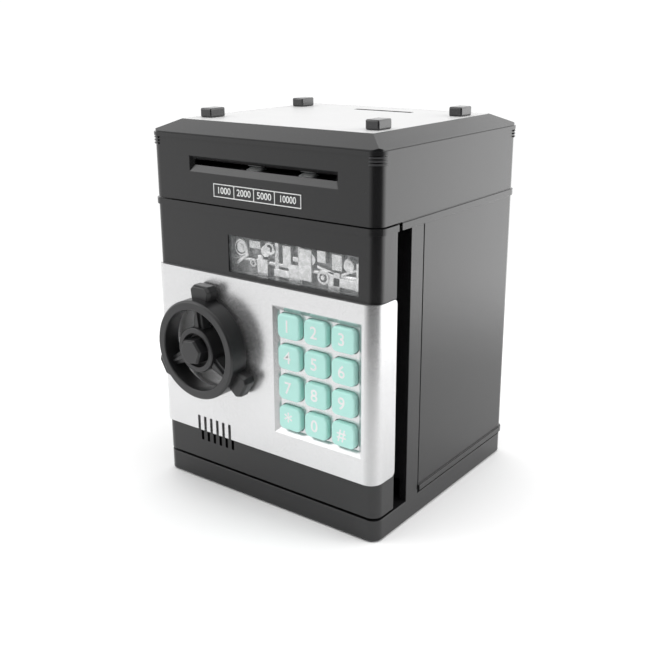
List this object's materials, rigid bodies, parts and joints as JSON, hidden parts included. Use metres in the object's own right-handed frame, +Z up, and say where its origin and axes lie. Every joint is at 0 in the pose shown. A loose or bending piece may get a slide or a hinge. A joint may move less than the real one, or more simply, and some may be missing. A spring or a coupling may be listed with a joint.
{
  "type": "toy atm savings bank",
  "caption": "Cash-machine shaped toy savings bank with hinged front door, key buttons, handwheel latch, note feed slot, coin slot and cash compartment.",
  "frame": {"origin": "on the floor, under the middle of the cabinet's base", "axes": "+Z up, the door faces -Y, +X to the right of someone facing the door"},
  "size_m": [0.1316, 0.1395, 0.1849],
  "materials": {
    "black_shell": "satin moulded ABS with a fine texture",
    "silver_face": "silver painted ABS, satin gloss",
    "roof_grey": "light grey moulded plastic",
    "post_black": "glossy black plastic",
    "trim_grey": "glossy rib edges",
    "mint_key": "mint green soft key with white figure",
    "wheel_grey": "dark grey satin plastic",
    "lens_clear": "clear styrene window",
    "relief_silver": "silver painted relief",
    "label_black": "black label with white boxes and figures",
    "inner_white": "unpainted pale plastic",
    "steel": "bright steel",
    "foot_rubber": "matt rubber",
    "roller_rubber": "grey roller rubber",
    "circuit_green": "green circuit board",
    "mat_silicone": "grey silicone mat",
    "cell_jacket": "printed cell jacket",
    "speaker_dark": "paper cone and basket"
  },
  "bodies": {
    "cabinet": {"base_tray": "black_shell", "rubber_feet": "foot_rubber", "rear_shell": "black_shell", "head_housing": "black_shell", "roof_panel": "roof_grey", "roof_posts": "post_black", "corner_trims": "trim_grey", "mechanism_deck": "inner_white", "note_guide": "inner_white", "bearing_blocks": "inner_white", "feed_motor": "steel", "coin_chute": "inner_white", "control_board": "circuit_green", "denomination_plate": "label_black", "hinge_pins": "steel", "strike_lug": "steel", "housing_screws": "steel"},
    "door": {"door_shell": "black_shell", "silver_panel": "silver_face", "window_lens": "lens_clear", "window_relief": "relief_silver", "key_mat": "mat_silicone", "keypad_board": "circuit_green", "speaker": "speaker_dark", "wheel_bush": "wheel_grey", "latch_guides": "black_shell", "door_back_cover": "black_shell", "battery_box": "black_shell", "battery_cells": "cell_jacket", "battery_contacts": "steel", "battery_cover": "black_shell", "door_screws": "steel"},
    "handwheel": {"handwheel": "wheel_grey", "handwheel_cap": "wheel_grey", "wheel_shaft": "steel", "latch_pinion": "inner_white"},
    "latch_bolt": {"latch_bolt": "inner_white"},
    "drive_roller_set": {"drive_shaft": "steel", "drive_rollers": "roller_rubber", "roller_gear": "inner_white"},
    "idler_roller_set": {"idler_shaft": "steel", "idler_rollers": "roller_rubber"},
    "motor_pinion": {"motor_pinion": "inner_white"},
    "key_1": {"key_1": "mint_key"},
    "key_2": {"key_2": "mint_key"},
    "key_3": {"key_3": "mint_key"},
    "key_4": {"key_4": "mint_key"},
    "key_5": {"key_5": "mint_key"},
    "key_6": {"key_6": "mint_key"},
    "key_7": {"key_7": "mint_key"},
    "key_8": {"key_8": "mint_key"},
    "key_9": {"key_9": "mint_key"},
    "key_star": {"key_star": "mint_key"},
    "key_0": {"key_0": "mint_key"},
    "key_hash": {"key_hash": "mint_key"}
  },
  "joints": [
    {"name": "door_hinge", "type": "hinge", "parent": "cabinet", "child": "door", "pos_m": [0.058, -0.052, 0.078], "axis": [0, 0, 1], "range_deg": [0, 110]},
    {"name": "handwheel_turn", "type": "hinge", "parent": "door", "child": "handwheel", "pos_m": [-0.0295, -0.061, 0.076], "axis": [0, -1, 0], "range_deg": [0, 90]},
    {"name": "latch_slide", "type": "slide", "parent": "door", "child": "latch_bolt", "axis": [-1, 0, 0], "range_m": [0, 0.0064]},
    {"name": "roller_spin", "type": "hinge", "parent": "cabinet", "child": "drive_roller_set", "pos_m": [0, -0.0515, 0.1553], "axis": [1, 0, 0], "continuous": true},
    {"name": "idler_spin", "type": "hinge", "parent": "cabinet", "child": "idler_roller_set", "pos_m": [0, -0.0515, 0.1657], "axis": [1, 0, 0], "continuous": true},
    {"name": "pinion_spin", "type": "hinge", "parent": "cabinet", "child": "motor_pinion", "pos_m": [-0.043, -0.04165, 0.1553], "axis": [1, 0, 0], "continuous": true},
    {"name": "key_1_press", "type": "slide", "parent": "door", "child": "key_1", "axis": [0, 1, 0], "range_m": [0, 0.0012], "stiffness_N_per_m": 200},
    {"name": "key_2_press", "type": "slide", "parent": "door", "child": "key_2", "axis": [0, 1, 0], "range_m": [0, 0.0012], "stiffness_N_per_m": 200},
    {"name": "key_3_press", "type": "slide", "parent": "door", "child": "key_3", "axis": [0, 1, 0], "range_m": [0, 0.0012], "stiffness_N_per_m": 200},
    {"name": "key_4_press", "type": "slide", "parent": "door", "child": "key_4", "axis": [0, 1, 0], "range_m": [0, 0.0012], "stiffness_N_per_m": 200},
    {"name": "key_5_press", "type": "slide", "parent": "door", "child": "key_5", "axis": [0, 1, 0], "range_m": [0, 0.0012], "stiffness_N_per_m": 200},
    {"name": "key_6_press", "type": "slide", "parent": "door", "child": "key_6", "axis": [0, 1, 0], "range_m": [0, 0.0012], "stiffness_N_per_m": 200},
    {"name": "key_7_press", "type": "slide", "parent": "door", "child": "key_7", "axis": [0, 1, 0], "range_m": [0, 0.0012], "stiffness_N_per_m": 200},
    {"name": "key_8_press", "type": "slide", "parent": "door", "child": "key_8", "axis": [0, 1, 0], "range_m": [0, 0.0012], "stiffness_N_per_m": 200},
    {"name": "key_9_press", "type": "slide", "parent": "door", "child": "key_9", "axis": [0, 1, 0], "range_m": [0, 0.0012], "stiffness_N_per_m": 200},
    {"name": "key_star_press", "type": "slide", "parent": "door", "child": "key_star", "axis": [0, 1, 0], "range_m": [0, 0.0012], "stiffness_N_per_m": 200},
    {"name": "key_0_press", "type": "slide", "parent": "door", "child": "key_0", "axis": [0, 1, 0], "range_m": [0, 0.0012], "stiffness_N_per_m": 200},
    {"name": "key_hash_press", "type": "slide", "parent": "door", "child": "key_hash", "axis": [0, 1, 0], "range_m": [0, 0.0012], "stiffness_N_per_m": 200}
  ],
  "couplings": [
    {"joint": "latch_slide", "follows": "handwheel_turn", "m_per_rad": 0.004},
    {"joint": "idler_spin", "follows": "roller_spin", "ratio": -1.5},
    {"joint": "pinion_spin", "follows": "roller_spin", "ratio": -1.4}
  ]
}
